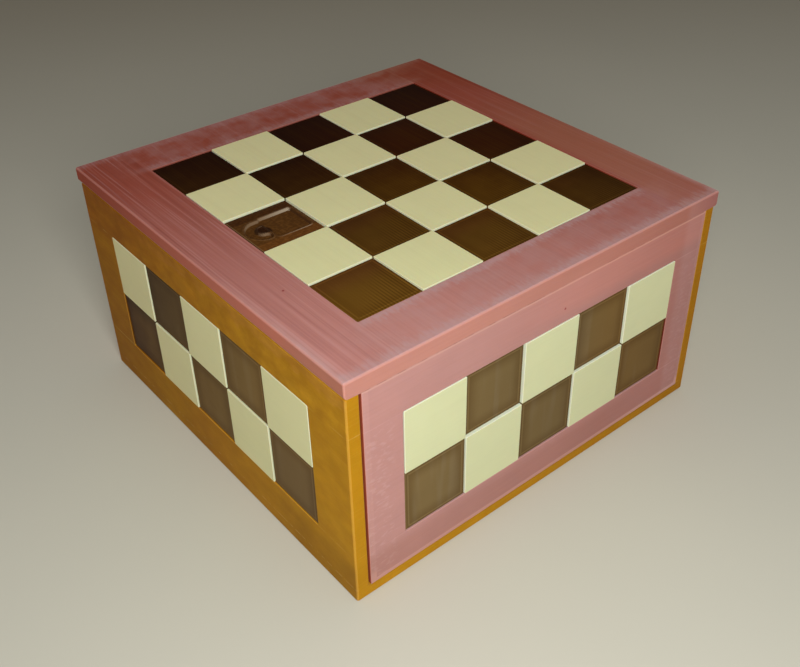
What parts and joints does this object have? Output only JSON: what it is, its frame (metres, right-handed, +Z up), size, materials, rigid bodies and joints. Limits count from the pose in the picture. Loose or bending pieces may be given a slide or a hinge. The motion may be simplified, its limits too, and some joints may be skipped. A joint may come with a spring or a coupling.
{
  "type": "chess box",
  "caption": "Square lift-lid box inlaid as a small chessboard on its top and sides, with a sliding bolt lock hidden under its loose padlock square.",
  "frame": {"origin": "centre of the underside of the base", "axes": "+Z up, -Y towards the front panel, -X towards the wall under the padlock square"},
  "size_m": [0.126, 0.1264, 0.0692],
  "materials": {
    "amber_plastic": "translucent amber printed plastic with fine horizontal layer lines",
    "rose_plastic": "dusty rose printed plastic, satin, with fine parallel lines",
    "ivory_plastic": "cream printed plastic, matt, with softened edges",
    "brown_plastic": "dark brown printed plastic, satin, with fine parallel lines"
  },
  "bodies": {
    "base": {"base_shell": "amber_plastic", "lock_keeper": "amber_plastic", "left_square_a1": "brown_plastic", "left_square_a2": "ivory_plastic", "left_square_b1": "ivory_plastic", "left_square_b2": "brown_plastic", "left_square_c1": "brown_plastic", "left_square_c2": "ivory_plastic", "left_square_d1": "ivory_plastic", "left_square_d2": "brown_plastic", "left_square_e1": "brown_plastic", "left_square_e2": "ivory_plastic", "right_dark_squares": "brown_plastic", "right_light_squares": "ivory_plastic"},
    "cover": {"cover_shell": "rose_plastic", "bolt_guide": "rose_plastic", "back_dark_squares": "brown_plastic", "back_light_squares": "ivory_plastic", "board_square_a1": "brown_plastic", "board_square_a2": "ivory_plastic", "board_square_a4": "ivory_plastic", "board_square_a5": "brown_plastic", "board_square_b1": "ivory_plastic", "board_square_b2": "brown_plastic", "board_square_b3": "ivory_plastic", "board_square_b4": "brown_plastic", "board_square_b5": "ivory_plastic", "board_square_c1": "brown_plastic", "board_square_c2": "ivory_plastic", "board_square_c3": "brown_plastic", "board_square_c4": "ivory_plastic", "board_square_c5": "brown_plastic", "board_square_d1": "ivory_plastic", "board_square_d2": "brown_plastic", "board_square_d3": "ivory_plastic", "board_square_d4": "brown_plastic", "board_square_d5": "ivory_plastic", "board_square_e1": "brown_plastic", "board_square_e2": "ivory_plastic", "board_square_e3": "brown_plastic", "board_square_e4": "ivory_plastic", "board_square_e5": "brown_plastic", "front_square_a1": "brown_plastic", "front_square_a2": "ivory_plastic", "front_square_b1": "ivory_plastic", "front_square_b2": "brown_plastic", "front_square_c1": "brown_plastic", "front_square_c2": "ivory_plastic", "front_square_d1": "ivory_plastic", "front_square_d2": "brown_plastic", "front_square_e1": "brown_plastic", "front_square_e2": "ivory_plastic"},
    "bolt": {"lock_bolt": "brown_plastic", "thumb_knob": "brown_plastic"},
    "lock_square": {"lock_square": "brown_plastic"}
  },
  "joints": [
    {"name": "cover_lift", "type": "slide", "parent": "base", "child": "cover", "axis": [0, 0, 1], "range_m": [0, 0.08]},
    {"name": "lock_square_lift", "type": "slide", "parent": "cover", "child": "lock_square", "axis": [0, 0, 1], "range_m": [0, 0.025]},
    {"name": "bolt_slide", "type": "slide", "parent": "cover", "child": "bolt", "axis": [-1, 0, 0], "range_m": [0, 0.005]}
  ]
}
